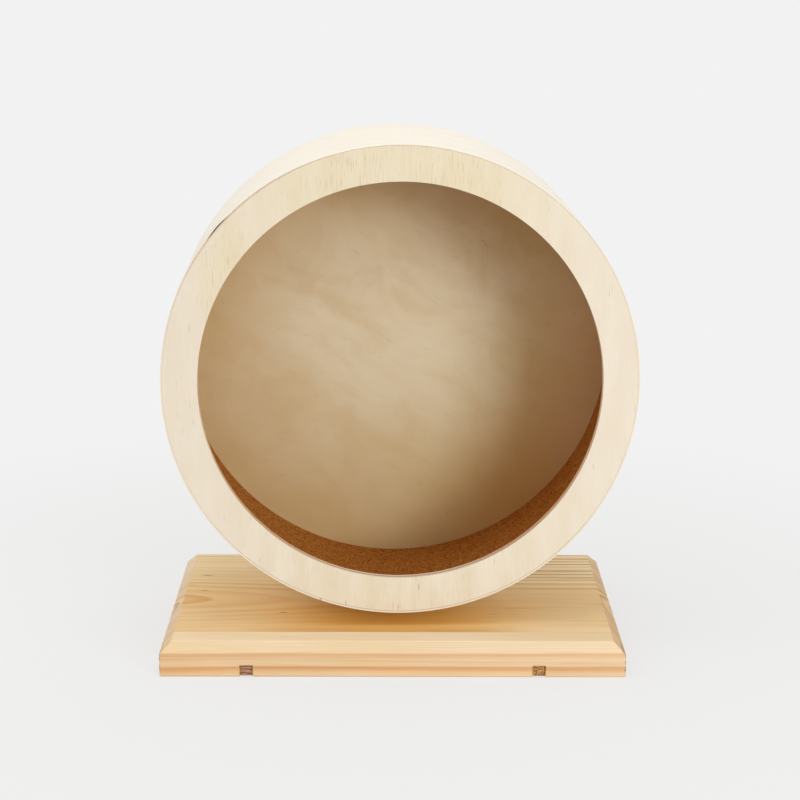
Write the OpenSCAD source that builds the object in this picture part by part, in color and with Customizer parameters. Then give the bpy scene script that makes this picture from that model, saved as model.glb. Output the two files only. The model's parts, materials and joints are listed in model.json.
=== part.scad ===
// Rodent exercise wheel: a plywood drum with a cork track, which spins on two ball bearings
// in a pine post on a bevelled pine board.
// X is to the right, Y to the back along the axle, Z up. The floor is Z = 0, and X = Y = 0 lies
// under the middle of the wheel.

/* [Wheel] */
// Outside diameter of the bent rim
wheel_d = 290; // [220:1:400]
// Width of the wheel, from the front ring's face to the rear disc's back
wheel_w = 122; // [70:1:180]
// Thickness of the bent plywood rim
rim_t = 1.5; // [0.8:0.1:4]
// Thickness of the front ring
ring_t = 6; // [4:0.5:14]
// Width of the front ring, from the rim to the round opening
lip_w = 20.8; // [12:0.1:60]
// Thickness of the rear disc
disc_t = 8; // [7.5:0.5:14]
// Thickness of the cork track inside the rim
cork_t = 4; // [2:0.5:8]
// Width of the butt joints in the rim and in the cork track
seam_w = 0.4; // [0.2:0.1:1]
// Place of the rim's joint, counted anticlockwise from the right as seen from the front
rim_seam_angle = 250; // [200:1:340]
// Place of the cork track's joint, counted in the same way
cork_seam_angle = 98; // [45:1:135]
// Depth of the flat that the saw left on the ring's edge, which shows as a thin gap
flat_depth = 0.7; // [0.2:0.1:2]
// Place of that flat, counted in the same way
flat_angle = 140; // [100:1:170]

/* [Board] */
// Width of the base board
board_w = 283.5; // [220:0.5:360]
// Thickness of the base board
board_t = 21.2; // [16:0.1:30]
// Width and height of the bevel round the board's top
bevel = 7.2; // [2:0.1:7.4]
// Width and height of the bevel along the board's front, which was planed back
front_bevel = 6; // [2:0.1:7.4]
// Width of the small chamfer on the board's other edges
edge_chamfer = 0.7; // [0.3:0.1:1.5]
// Length of the board in front of the wheel's front face
front_margin = 32.75; // [20:0.25:60]
// Length of the board behind the post
rear_margin = 7.6; // [7.5:0.1:30]
// Clearance between the wheel and the board's top
floor_gap = 8.5; // [4:0.5:30]
// Distance of the axle to the right of the board's middle
axle_offset = 3; // [0:0.1:10]
// Angle by which the board sits out of square with the axle, seen from above
board_skew = -1.5; // [-3:0.1:3]

/* [Battens] */
// Distance between the middles of the two battens under the board
batten_spacing = 178; // [150:1:210]
// Width of a batten
batten_w = 8; // [5:0.5:14]
// Height of a batten
batten_h = 7.2; // [4:0.2:7.4]
// Depth of the groove that a batten is glued into
groove_depth = 7.5; // [7.5:0.5:11]
// Distance of a batten's ends from the board's front and back
batten_inset = 1.5; // [0.5:0.5:5]

/* [Post] */
// Thickness of the post
post_t = 17; // [16:0.5:30]
// Width of the post at its foot
post_foot_w = 110; // [104:1:140]
// Radius of the post's round head, about the axle
post_head_r = 40; // [24:1:50]
// Width of the chamfer along the post's sides and head
post_chamfer = 1.5; // [0.5:0.5:3]
// Distance between the two dowels in the post's foot
dowel_spacing = 84; // [70:1:90]
// Diameter of a dowel
dowel_d = 8; // [6:0.5:10]
// Length of a dowel
dowel_l = 30; // [24:1:40]
// Depth of a dowel in the board
dowel_depth = 12; // [8:1:15]
// Distance between the two screws that hold the post
post_screw_spacing = 44; // [30:1:60]
// Shank diameter of a post screw
post_screw_d = 4.5; // [3.5:0.1:5.5]
// Head diameter of a post screw
post_screw_head_d = 8.8; // [7.6:0.1:10]
// Length of a post screw
post_screw_l = 45; // [35:1:70]
// Depth of a post screw's head in the board's underside
post_screw_sink = 1; // [0.5:0.1:3]

/* [Bearings] */
// Outside diameter of a ball bearing
bearing_d = 22; // [21:0.5:24]
// Bore of a ball bearing, and the diameter of the axle bolt
bearing_bore = 8; // [7:0.1:8.4]
// Width of a ball bearing
bearing_w = 7; // [6:0.5:7.5]
// Number of balls in a bearing
ball_count = 7; // [5:1:8]
// Diameter of a ball
ball_d = 3.969; // [3.5:0.001:4.1]
// Diameter of the circle through the balls' middles
ball_pitch_d = 15; // [14.6:0.1:15.6]
// Thickness of a bearing's shields
shield_t = 0.3; // [0.2:0.05:0.5]
// Corner chamfer of the bearing rings
race_chamfer = 0.3; // [0.1:0.05:0.5]

/* [Hub] */
// Gap between the rear disc and the post
hub_gap = 5; // [4.5:0.5:14]
// Diameter of the steel flange on the rear disc
flange_d = 56; // [50:1:70]
// Thickness of the flange
flange_t = 3; // [2.6:0.2:4]
// Diameter of the circle of flange screws
flange_screw_pcd = 40; // [34:1:44]
// Number of flange screws
flange_screw_count = 4; // [3:1:6]
// Shank diameter of a flange screw
flange_screw_d = 3.5; // [2.5:0.1:4]
// Head diameter of a flange screw
flange_screw_head_d = 7; // [5:0.1:7.6]
// Length of a flange screw
flange_screw_l = 9; // [6:0.5:10]
// Chamfer round the flange's rim
flange_chamfer = 0.8; // [0.2:0.1:1.2]
// Width across the flats of the bolt's head and of the nut
hex_w = 13; // [12:0.5:16]
// Height of the bolt's head
bolt_head_h = 5.3; // [4:0.1:6]
// Length of bolt that stands out of the nut
bolt_end = 1.5; // [1:0.5:4]
// Chamfer at the bolt's end
bolt_chamfer = 0.8; // [0.3:0.1:1]
// Outside diameter of the spacers and the shim washer
spacer_d = 11.6; // [10:0.1:12]
// Thickness of the shim washer
shim_t = 1; // [0.5:0.1:2]
// Height of the lock nut
nut_h = 8; // [6.5:0.5:10]
// Height of the nylon insert in the lock nut
insert_h = 1.8; // [1:0.1:2.5]
// Distance of the nut's round collar inside its flats
collar_inset = 0.7; // [0.4:0.1:1]
// Thickness of the collar's wall round the insert
collar_wall = 1; // [0.7:0.1:1.3]
// Thickness of the collar's edge, rolled over the insert
collar_lip = 0.4; // [0.2:0.1:0.6]

/* [Fits] */
// Width of the wooden shoulder that a bearing sits against
seat_shoulder = 2.5; // [1.5:0.1:4]
// Radial clearance of a piece that is glued or pressed into its seat
seat_fit = 0.02; // [0.01:0.01:0.05]
// Clearance of a screw or a dowel in its hole
hole_fit = 0.05; // [0.02:0.01:0.1]
// Clearance between a ball and its races
ball_fit = 0.05; // [0.02:0.01:0.08]
// Clearance between a turning ring and a still one inside a bearing
running_gap = 0.4; // [0.2:0.05:0.6]

/* [Hidden] */
$fn = 96;

through = 1;
wheel_r = wheel_d / 2;
inner_r = wheel_r - rim_t;
opening_r = inner_r - lip_w;
front_y = -wheel_w / 2;
disc_back_y = wheel_w / 2;
disc_face_y = disc_back_y - disc_t;
post_front_y = disc_back_y + hub_gap;
post_back_y = post_front_y + post_t;
axle_z = board_t + floor_gap + wheel_r;
board_front_y = front_y - front_margin;
board_back_y = post_back_y + rear_margin;
board_d = board_back_y - board_front_y;
front_bearing_y = post_front_y;
rear_bearing_y = post_back_y - bearing_w;
bolt_d = bearing_bore - 2 * seat_fit;
nut_y = post_back_y + shim_t;
collar_r = hex_w / 2 - collar_inset;
insert_seat_h = insert_h - collar_lip;

pine = "#E4BE8B";
pine_dark = "#B98B55";
plywood = "#EBDCBF";
cork = "#7B4620";
steel = "#B9BCC0";
zinc = "#D2D3CE";
nylon = "#E9E6DA";

// Puts what is drawn about Z, from 0 up, on the axle with its start at y
module on_axle(y = 0) {
    translate([0, y, axle_z]) rotate([-90, 0, 0]) children();
}

// Turns what is drawn on the right of the axle to an angle seen from the front
module at_angle(angle) {
    rotate([0, 0, -angle]) children();
}

// Puts what is drawn about the board's middle in the board's place
module on_board() {
    translate([-axle_offset, (board_front_y + board_back_y) / 2, 0])
        rotate([0, 0, board_skew]) children();
}

module tube(r_out, r_in, length) {
    difference() {
        cylinder(r = r_out, h = length);
        translate([0, 0, -through]) cylinder(r = r_in, h = length + 2 * through);
    }
}

// A tube whose outer corners are chamfered by c_out and whose bore's corners by c_in
module eased_tube(r_out, r_in, length, c_out, c_in) {
    rotate_extrude()
        polygon([[r_in + c_in, 0], [r_out - c_out, 0], [r_out, c_out], [r_out, length - c_out],
            [r_out - c_out, length], [r_in + c_in, length], [r_in, length - c_in], [r_in, c_in]]);
}

module hex_prism(width, height) {
    cylinder(d = width / cos(30), h = height, $fn = 6);
}

// A countersunk wood screw, head up at Z = 0 and point down
module wood_screw(length, shank_d, head_d, grow = 0) {
    shank_r = shank_d / 2 + grow;
    head_r = head_d / 2 + grow;
    point_r = shank_d / 12;
    rotate_extrude()
        polygon([[0, 0], [head_r, 0], [shank_r, shank_r - head_r], [shank_r, shank_d - length],
            [point_r, -length - grow], [0, -length - grow]]);
}

// Cross-section of the board, bevelled at the top and eased at the bottom. start_bevel is the
// bevel on the side where its width starts.
module board_section(width, start_bevel) {
    polygon([[-width / 2 + edge_chamfer, 0], [width / 2 - edge_chamfer, 0],
        [width / 2, edge_chamfer], [width / 2, board_t - bevel], [width / 2 - bevel, board_t],
        [-width / 2 + start_bevel, board_t], [-width / 2, board_t - start_bevel],
        [-width / 2, edge_chamfer]]);
}

module board_plan() {
    x = board_w / 2;
    y = board_d / 2;
    e = edge_chamfer;
    polygon([[e - x, -y], [x - e, -y], [x, e - y], [x, y - e], [x - e, y], [e - x, y],
        [-x, y - e], [-x, e - y]]);
}

module board_blank() {
    intersection() {
        rotate([90, 0, 0]) linear_extrude(board_d, center = true)
            board_section(board_w, bevel);
        rotate([90, 0, 90]) linear_extrude(board_w, center = true)
            board_section(board_d, front_bevel);
        linear_extrude(board_t) board_plan();
    }
}

// Places the pieces that pass from the board into the post's foot
module in_foot(spacing) {
    for (side = [-1, 1])
        translate([side * spacing / 2, (post_front_y + post_back_y) / 2, 0]) children();
}

module dowels(grow = 0) {
    in_foot(dowel_spacing)
        translate([0, 0, board_t - dowel_depth - grow])
            cylinder(d = dowel_d + 2 * grow, h = dowel_l + 2 * grow);
}

module foot_screws(grow = 0) {
    in_foot(post_screw_spacing)
        translate([0, 0, post_screw_sink]) rotate([180, 0, 0])
            wood_screw(post_screw_l, post_screw_d, post_screw_head_d, grow);
}

module base_board() {
    color(pine) difference() {
        on_board() difference() {
            board_blank();
            for (side = [-1, 1])
                translate([side * batten_spacing / 2 - batten_w / 2 - seat_fit,
                    -board_d / 2 - through, -through])
                    cube([batten_w + 2 * seat_fit, board_d + 2 * through,
                        groove_depth + through]);
        }
        dowels(hole_fit);
        foot_screws(hole_fit);
        in_foot(post_screw_spacing)
            translate([0, 0, -through])
                cylinder(d = post_screw_head_d + 2 * hole_fit, h = post_screw_sink + through);
    }
}

module batten(side) {
    color(pine_dark) on_board()
        translate([side * batten_spacing / 2 - batten_w / 2, batten_inset - board_d / 2,
            groove_depth - batten_h])
            cube([batten_w, board_d - 2 * batten_inset, batten_h]);
}

// The post seen from the front, from its foot up: straight sides that run into the round head.
// Both faces' edges are chamfered.
module post_blank() {
    head_h = axle_z - board_t;
    foot_x = post_foot_w / 2;
    tangent = acos(post_head_r / norm([foot_x, head_h])) - atan2(head_h, foot_x);
    tx = post_head_r * cos(tangent);
    ty = head_h + post_head_r * sin(tangent);
    lean = atan2(foot_x - tx, ty);
    cut = post_chamfer * sqrt(2);
    difference() {
        linear_extrude(post_t) polygon([[-foot_x, 0], [foot_x, 0], [tx, ty], [-tx, ty]]);
        for (side = [-1, 1], face = [0, post_t])
            translate([side * foot_x, 0, face]) rotate([0, 0, side * lean]) rotate([0, 45, 0])
                cube([cut, 3 * head_h, cut], center = true);
    }
    translate([0, head_h, 0])
        eased_tube(post_head_r, bearing_bore / 2, post_t, post_chamfer, 0);
}

module post() {
    seat_r = bearing_d / 2 + seat_fit;
    shoulder_r = bearing_d / 2 - seat_shoulder;
    color(pine) difference() {
        translate([0, post_back_y, board_t]) rotate([90, 0, 0]) post_blank();
        on_axle(post_front_y - through) cylinder(r = seat_r, h = bearing_w + through);
        on_axle(rear_bearing_y) cylinder(r = seat_r, h = bearing_w + through);
        on_axle(post_front_y) cylinder(r = shoulder_r, h = post_t);
        dowels(hole_fit);
        foot_screws(hole_fit);
    }
}

module post_dowels() {
    color(pine_dark) dowels();
}

module post_screws() {
    color(zinc) foot_screws();
}

// Radius of a race's groove, and the shoulders beside it
groove_r = ball_d / 2 + ball_fit;
inner_shoulder_r = ball_pitch_d / 2 - ball_d * 0.36;
outer_shoulder_r = ball_pitch_d / 2 + ball_d * 0.36;

module ball_groove() {
    translate([0, 0, bearing_w / 2])
        rotate_extrude() translate([ball_pitch_d / 2, 0]) circle(r = groove_r);
}

module inner_ring(y) {
    color(steel) on_axle(y) difference() {
        eased_tube(inner_shoulder_r, bearing_bore / 2, bearing_w, race_chamfer / 2, race_chamfer);
        ball_groove();
    }
}

module outer_ring(y) {
    color(steel) on_axle(y) difference() {
        eased_tube(bearing_d / 2, outer_shoulder_r, bearing_w, race_chamfer, race_chamfer / 2);
        ball_groove();
    }
}

// The two pressed shields close the space between the rings, just inside their faces
module shields(y) {
    color(steel) for (start = [shield_t, bearing_w - 2 * shield_t])
        on_axle(y + start)
            tube(outer_shoulder_r - seat_fit, inner_shoulder_r + running_gap, shield_t);
}

module ball_places(y) {
    on_axle(y + bearing_w / 2)
        for (i = [0:ball_count - 1])
            rotate([0, 0, 360 / ball_count * i]) translate([ball_pitch_d / 2, 0, 0]) children();
}

module balls(y) {
    color(steel) ball_places(y) sphere(d = ball_d, $fn = 48);
}

// The cage is a machined ring with a round pocket for each ball
module ball_cage(y) {
    cage_w = bearing_w - 4 * shield_t - 2 * running_gap;
    reach = ball_pitch_d / 2;
    color(nylon) difference() {
        on_axle(y + (bearing_w - cage_w) / 2)
            tube(outer_shoulder_r - running_gap, inner_shoulder_r + running_gap, cage_w);
        ball_places(y)
            translate([-reach / 2, 0, 0]) rotate([0, 90, 0])
                cylinder(r = ball_d / 2 + ball_fit, h = reach);
    }
}

module front_ring() {
    color(plywood) on_axle(front_y) difference() {
        tube(inner_r - seat_fit, opening_r, ring_t);
        at_angle(flat_angle)
            translate([inner_r - flat_depth, -wheel_r, -through])
                cube([wheel_r, wheel_d, ring_t + 2 * through]);
    }
}

module butt_joint(angle, r, length) {
    at_angle(angle)
        translate([r - 2 * through, -seam_w / 2, -through])
            cube([wheel_r, seam_w, length + 2 * through]);
}

module rim_band() {
    color(plywood) on_axle(front_y) difference() {
        tube(wheel_r, inner_r, wheel_w);
        butt_joint(rim_seam_angle, inner_r, wheel_w);
    }
}

module cork_track() {
    track_w = wheel_w - ring_t - disc_t;
    cork_r = inner_r - seat_fit;
    color(cork) on_axle(front_y + ring_t) difference() {
        tube(cork_r, cork_r - cork_t, track_w);
        butt_joint(cork_seam_angle, cork_r - cork_t, track_w);
    }
}

// Places the flange screws on the disc's back, points to the front
module at_flange_screws() {
    on_axle(disc_back_y + flange_t)
        for (i = [0:flange_screw_count - 1])
            rotate([0, 0, 360 / flange_screw_count * (i + 0.5)])
                translate([flange_screw_pcd / 2, 0, 0]) children();
}

module rear_disc() {
    color(plywood) difference() {
        on_axle(disc_face_y) cylinder(r = inner_r - seat_fit, h = disc_t);
        on_axle(disc_back_y - bolt_head_h - hole_fit)
            hex_prism(hex_w + 2 * hole_fit, bolt_head_h + through);
        at_flange_screws() wood_screw(flange_screw_l, flange_screw_d, flange_screw_head_d, hole_fit);
    }
}

module hub_flange() {
    color(zinc) difference() {
        on_axle(disc_back_y) rotate_extrude()
            polygon([[bearing_bore / 2, 0], [flange_d / 2, 0],
                [flange_d / 2, flange_t - flange_chamfer],
                [flange_d / 2 - flange_chamfer, flange_t], [bearing_bore / 2, flange_t]]);
        at_flange_screws() wood_screw(flange_screw_l, flange_screw_d, flange_screw_head_d, hole_fit);
    }
}

module flange_screws() {
    color(zinc) at_flange_screws()
        wood_screw(flange_screw_l, flange_screw_d, flange_screw_head_d);
}

module axle_bolt() {
    shank_l = nut_y + nut_h + bolt_end - disc_back_y + through;
    color(zinc) {
        on_axle(disc_back_y - bolt_head_h) hex_prism(hex_w, bolt_head_h);
        on_axle(disc_back_y - through) rotate_extrude()
            polygon([[0, 0], [bolt_d / 2, 0], [bolt_d / 2, shank_l - bolt_chamfer],
                [bolt_d / 2 - bolt_chamfer, shank_l], [0, shank_l]]);
    }
}

module spacer(y, length) {
    color(zinc) on_axle(y) tube(spacer_d / 2, bearing_bore / 2, length);
}

module axle_spacer() {
    spacer(disc_back_y + flange_t, hub_gap - flange_t);
}

module bearing_spacer() {
    spacer(front_bearing_y + bearing_w, post_t - 2 * bearing_w);
}

module shim_washer() {
    spacer(post_back_y, shim_t);
}

// Hexagon with turned corners below a round collar, which holds the nylon insert
module lock_nut() {
    hex_h = nut_h - insert_h;
    corner_r = hex_w / 2 / cos(30);
    turned = corner_r - hex_w / 2;
    color(zinc) on_axle(nut_y) difference() {
        union() {
            intersection() {
                hex_prism(hex_w, hex_h);
                rotate_extrude()
                    polygon([[0, 0], [hex_w / 2, 0], [corner_r + through, turned],
                        [corner_r + through, hex_h - turned], [hex_w / 2, hex_h], [0, hex_h]]);
            }
            cylinder(r = collar_r, h = nut_h);
        }
        translate([0, 0, -through]) cylinder(d = bearing_bore, h = nut_h + 2 * through);
        translate([0, 0, hex_h]) cylinder(r = collar_r - collar_wall, h = insert_seat_h);
    }
}

module nut_insert() {
    color(nylon) on_axle(nut_y + nut_h - insert_h)
        tube(collar_r - collar_wall - seat_fit, bearing_bore / 2, insert_seat_h - seat_fit);
}

base_board();
batten(-1);  // left_batten
batten(1);  // right_batten
post();
post_dowels();
post_screws();
outer_ring(front_bearing_y);  // front_bearing_outer_ring
outer_ring(rear_bearing_y);  // rear_bearing_outer_ring
shields(front_bearing_y);  // front_bearing_shields
shields(rear_bearing_y);  // rear_bearing_shields
front_ring();
rim_band();
cork_track();
rear_disc();
hub_flange();
flange_screws();
axle_bolt();
axle_spacer();
inner_ring(front_bearing_y);  // front_bearing_inner_ring
bearing_spacer();
inner_ring(rear_bearing_y);  // rear_bearing_inner_ring
shim_washer();
lock_nut();
nut_insert();
balls(front_bearing_y);  // front_balls
ball_cage(front_bearing_y);  // front_ball_cage
balls(rear_bearing_y);  // rear_balls
ball_cage(rear_bearing_y);  // rear_ball_cage
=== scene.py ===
import json
import math

import bmesh
import bpy
from mathutils import Matrix, Vector


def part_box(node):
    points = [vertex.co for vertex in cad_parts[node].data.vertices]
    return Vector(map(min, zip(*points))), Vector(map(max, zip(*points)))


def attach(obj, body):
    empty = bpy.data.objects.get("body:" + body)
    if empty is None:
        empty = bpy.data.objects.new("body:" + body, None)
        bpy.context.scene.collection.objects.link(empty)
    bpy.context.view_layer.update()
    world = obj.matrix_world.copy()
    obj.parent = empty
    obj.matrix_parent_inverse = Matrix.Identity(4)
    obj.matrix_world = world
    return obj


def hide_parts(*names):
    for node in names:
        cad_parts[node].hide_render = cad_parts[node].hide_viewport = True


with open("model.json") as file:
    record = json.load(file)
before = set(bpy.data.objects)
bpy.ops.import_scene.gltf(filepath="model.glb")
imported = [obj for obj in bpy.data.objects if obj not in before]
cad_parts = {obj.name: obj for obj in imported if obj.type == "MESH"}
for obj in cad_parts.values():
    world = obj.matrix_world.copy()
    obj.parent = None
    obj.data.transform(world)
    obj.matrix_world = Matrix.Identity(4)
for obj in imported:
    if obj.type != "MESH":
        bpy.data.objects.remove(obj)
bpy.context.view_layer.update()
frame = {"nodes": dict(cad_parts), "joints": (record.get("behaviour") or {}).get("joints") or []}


# STUDIO. A pale floor under a plain, slightly warm surround, a softbox overhead, a cooler one at
# the front right whose light falls through the wheel's mouth, and a wide one high on the left.
# Everything is lit at about the level at which a colour looks as it is written.
class Pattern:
    """A tree put together node by node; each call gives back a node's output."""

    def __init__(self, tree):
        self.tree = tree
        tree.nodes.clear()

    def add(self, kind, inputs=(), out=0, **settings):
        node = self.tree.nodes.new(kind if "Node" in kind else "ShaderNode" + kind)
        for key, value in settings.items():
            setattr(node, key, value)
        for key, value in dict(inputs).items():
            for item in value if isinstance(value, list) else [value]:
                if isinstance(item, bpy.types.NodeSocket):
                    self.tree.links.new(item, node.inputs[key])
                else:
                    node.inputs[key].default_value = item
        return node.outputs if out is None else node.outputs[out]

    def math(self, operation, a, b=0.0, c=0.0):
        return self.add("Math", {0: a, 1: b, 2: c}, operation=operation)

    def times(self, a, b, plus=0.0):
        return self.math("MULTIPLY_ADD", a, b, plus)

    def plus(self, a, b):
        return self.math("ADD", a, b)

    def minus(self, a, b):
        return self.math("SUBTRACT", a, b)

    def over(self, a, b):
        return self.math("DIVIDE", a, b)

    def larger(self, a, b):
        return self.math("MAXIMUM", a, b)

    def unsigned(self, a):
        return self.math("ABSOLUTE", a)

    def fade(self, value, start, end, low=0.0, high=1.0, kind="SMOOTHSTEP"):
        return self.add("MapRange", {0: value, 1: start, 2: end, 3: low, 4: high},
                        interpolation_type=kind)

    def vector(self, x=0.0, y=0.0, z=0.0):
        return self.add("CombineXYZ", {0: x, 1: y, 2: z})

    def axes(self, place):
        return self.add("SeparateXYZ", {0: place}, out=None)

    def stretch(self, place, x, y, z):
        return self.add("VectorMath", {0: place, 1: (x, y, z)}, operation="MULTIPLY")

    def length(self, place):
        return self.add("VectorMath", {0: place}, out=1, operation="LENGTH")

    def in_view(self):
        """One for a look from the camera, straight, by a reflection or through glass."""
        seen = self.add("LightPath", out=None)
        return self.larger(self.larger(seen["Is Camera Ray"], seen["Is Glossy Ray"]),
                           seen["Is Transmission Ray"])


class Finish(Pattern):
    """The pattern, relief and gloss of one surface."""

    def __init__(self, name):
        self.material = bpy.data.materials.new(name)
        self.material.use_nodes = True
        super().__init__(self.material.node_tree)

    def mix(self, share, a, b, blend="MIX"):
        a, b = (tone(c) if isinstance(c, str) else c for c in (a, b))
        return self.add("Mix", {0: share, 6: a, 7: b}, out=2, data_type="RGBA", blend_type=blend)

    def between(self, share, a, b):
        return self.add("Mix", {0: share, 2: a, 3: b}, data_type="FLOAT")

    def noise(self, place, scale=1.0, detail=2.0, rough=0.5, twist=0.0):
        return self.add("TexNoise", {"Vector": place, "Scale": scale, "Detail": detail,
                                     "Roughness": rough, "Distortion": twist})

    def cells(self, place, scale=1.0):
        return self.add("TexVoronoi", {"Vector": place, "Scale": scale}, out=None)

    def millimetres(self, centre=(0.0, 0.0, 0.0), turn=(0.0, 0.0, 0.0)):
        """Object coordinates in millimetres about a centre in metres, turned by angles."""
        spin = Matrix.Identity(3)
        for angle, axis in zip(turn, "XYZ"):
            spin = Matrix.Rotation(angle, 3, axis) @ spin
        shift = -1000 * (spin @ Vector(centre))
        return self.add("Mapping", {"Vector": self.add("TexCoord", out=3), "Location": shift,
                                    "Rotation": turn, "Scale": (1000, 1000, 1000)})

    def facing(self):
        """How far the surface looks along each of the piece's own axes."""
        return self.axes(self.add("TexCoord", out=1))

    def bump(self, strength, depth, height):
        return self.add("Bump", {"Strength": strength, "Distance": depth, "Height": height})

    def skin(self, colour, bump, rough, gloss=0.5, metal=0.0):
        return self.finish(self.add("BsdfPrincipled", {
            "Base Color": colour, "Normal": bump, "Roughness": rough,
            "Specular IOR Level": gloss, "Metallic": metal}))

    def finish(self, shader):
        self.add("OutputMaterial", {"Surface": shader}, out=None)
        return self.material


def tone(code):
    """A screen colour such as "E4BE8B" as the light that it stands for."""
    parts = [int(code[i:i + 2], 16) / 255 for i in (0, 2, 4)]
    light = [p / 12.92 if p <= 0.04045 else ((p + 0.055) / 1.055) ** 2.4 for p in parts]
    return (*light, 1.0)


def level_mesh(name, verts, faces):
    """A piece that sits at the origin, unturned, with its place in its mesh."""
    mesh = bpy.data.meshes.new(name)
    mesh.from_pydata(verts, [], faces)
    thing = bpy.data.objects.new(name, mesh)
    studio.collection.objects.link(thing)
    return thing


def softbox(name, place, aim, width, height, power, colour):
    light = bpy.data.lights.new(name, "AREA")
    light.shape = "RECTANGLE"
    light.size = width
    light.size_y = height
    light.energy = power
    light.color = colour
    lamp = bpy.data.objects.new(name, light)
    studio.collection.objects.link(lamp)
    lamp.location = place
    lamp.rotation_euler = (Vector(aim) - Vector(place)).to_track_quat("-Z", "Y").to_euler()


studio = bpy.context.scene
studio.view_settings.view_transform = "Standard"
backdrop_white = (0.888, 0.890, 0.890, 1.0)
surround_warm = (1.0, 0.955, 0.87, 1.0)
surround_light = 0.57

studio.world = bpy.data.worlds.new("surround")
studio.world.use_nodes = True
surround = Pattern(studio.world.node_tree)
ambient = surround.add("Background", {"Color": surround_warm, "Strength": surround_light})
white = surround.add("Background", {"Color": backdrop_white, "Strength": 1.0})
sky = surround.add("MixShader", {0: surround.in_view(), 1: ambient, 2: white})
surround.add("OutputWorld", {"Surface": sky}, out=None)

wheel_middle = (0.0, 0.0, 0.1747)
softbox("overhead_softbox", (0.0, -0.10, 1.30), (0.0, 0.0, 0.10),
        width=0.8, height=0.8, power=4.1, colour=(0.98, 0.99, 1.0))
softbox("key_softbox", (0.990, -1.715, 0.453), wheel_middle,
        width=0.75, height=0.55, power=12.9, colour=(0.94, 0.985, 1.0))
softbox("side_softbox", (-1.660, -0.293, 1.589), wheel_middle,
        width=1.3, height=1.3, power=6.8, colour=(1.0, 0.99, 0.97))

floor_half = 15.0
floor = level_mesh("studio_floor", [(-floor_half, -floor_half, 0), (floor_half, -floor_half, 0),
                                    (floor_half, floor_half, 0), (-floor_half, floor_half, 0)],
                   [(0, 1, 2, 3)])
paper = Finish("pale floor paper")
away = paper.length(paper.add("TexCoord", out=3))
own_glow = paper.times(paper.fade(away, 0.20, 0.60, 0.70, 1.0), paper.in_view())
matte = paper.add("BsdfDiffuse", {"Color": (0.855, 0.875, 0.90, 1.0)})
glow = paper.add("Emission", {"Color": backdrop_white})
floor.data.materials.append(paper.finish(paper.add("MixShader", {0: own_glow, 1: matte, 2: glow})))

eye = bpy.data.cameras.new("photo_camera")
eye.sensor_fit = "HORIZONTAL"
eye.sensor_width = 36.0
eye.lens = 91.48
camera = bpy.data.objects.new("photo_camera", eye)
studio.collection.objects.link(camera)
quarter = math.pi / 2
eye_place = (-0.03944, -1.25634, 0.45077)
eye_yaw, eye_pitch, eye_roll = (math.radians(angle) for angle in (1.864, 13.419, -0.228))
camera.matrix_world = (
    Matrix.Translation(eye_place) @ Matrix.Rotation(-eye_yaw, 4, "Z")
    @ Matrix.Rotation(quarter - eye_pitch, 4, "X") @ Matrix.Rotation(-eye_roll, 4, "Z"))
studio.camera = camera


# BASE BOARD. Pine with its grain from side to side, a wide board with a lath glued along its
# front, planed and bevelled round the top. The grooves for the battens and the holes for the
# dowels and screws are cut next, and all its corners are eased with sandpaper.
def settle(thing):
    """Turns what the piece's modifiers make into its plain mesh."""
    bpy.context.view_layer.update()
    graph = bpy.context.evaluated_depsgraph_get()
    mesh = bpy.data.meshes.new_from_object(thing.evaluated_get(graph), depsgraph=graph)
    thing.modifiers.clear()
    thing.data = mesh
    return thing


def eased_copy(node, name, ease, rounds=3):
    """The same solid as a CAD node, as one skin whose corners are rounded by ease."""
    skin = bmesh.new()
    skin.from_mesh(frame["nodes"][node].data)
    bmesh.ops.remove_doubles(skin, verts=skin.verts, dist=2e-6)
    bmesh.ops.dissolve_limit(skin, angle_limit=math.radians(0.3), verts=skin.verts,
                             edges=skin.edges)
    thing = level_mesh(name, [], [])
    skin.to_mesh(thing.data)
    skin.free()
    thing.data.shade_smooth()
    round_off = thing.modifiers.new("eased corners", "BEVEL")
    round_off.width = ease
    round_off.segments = rounds
    round_off.limit_method = "ANGLE"
    round_off.angle_limit = math.radians(30)
    round_off.harden_normals = True
    round_off.miter_outer = "MITER_ARC"
    return settle(thing)


def stands_for(piece, node, body, material):
    """Gives a piece its finish, and a CAD node's place on the body that it moves with."""
    piece.data.materials.clear()
    piece.data.materials.append(material)
    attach(piece, body)
    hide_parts(node)


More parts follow.
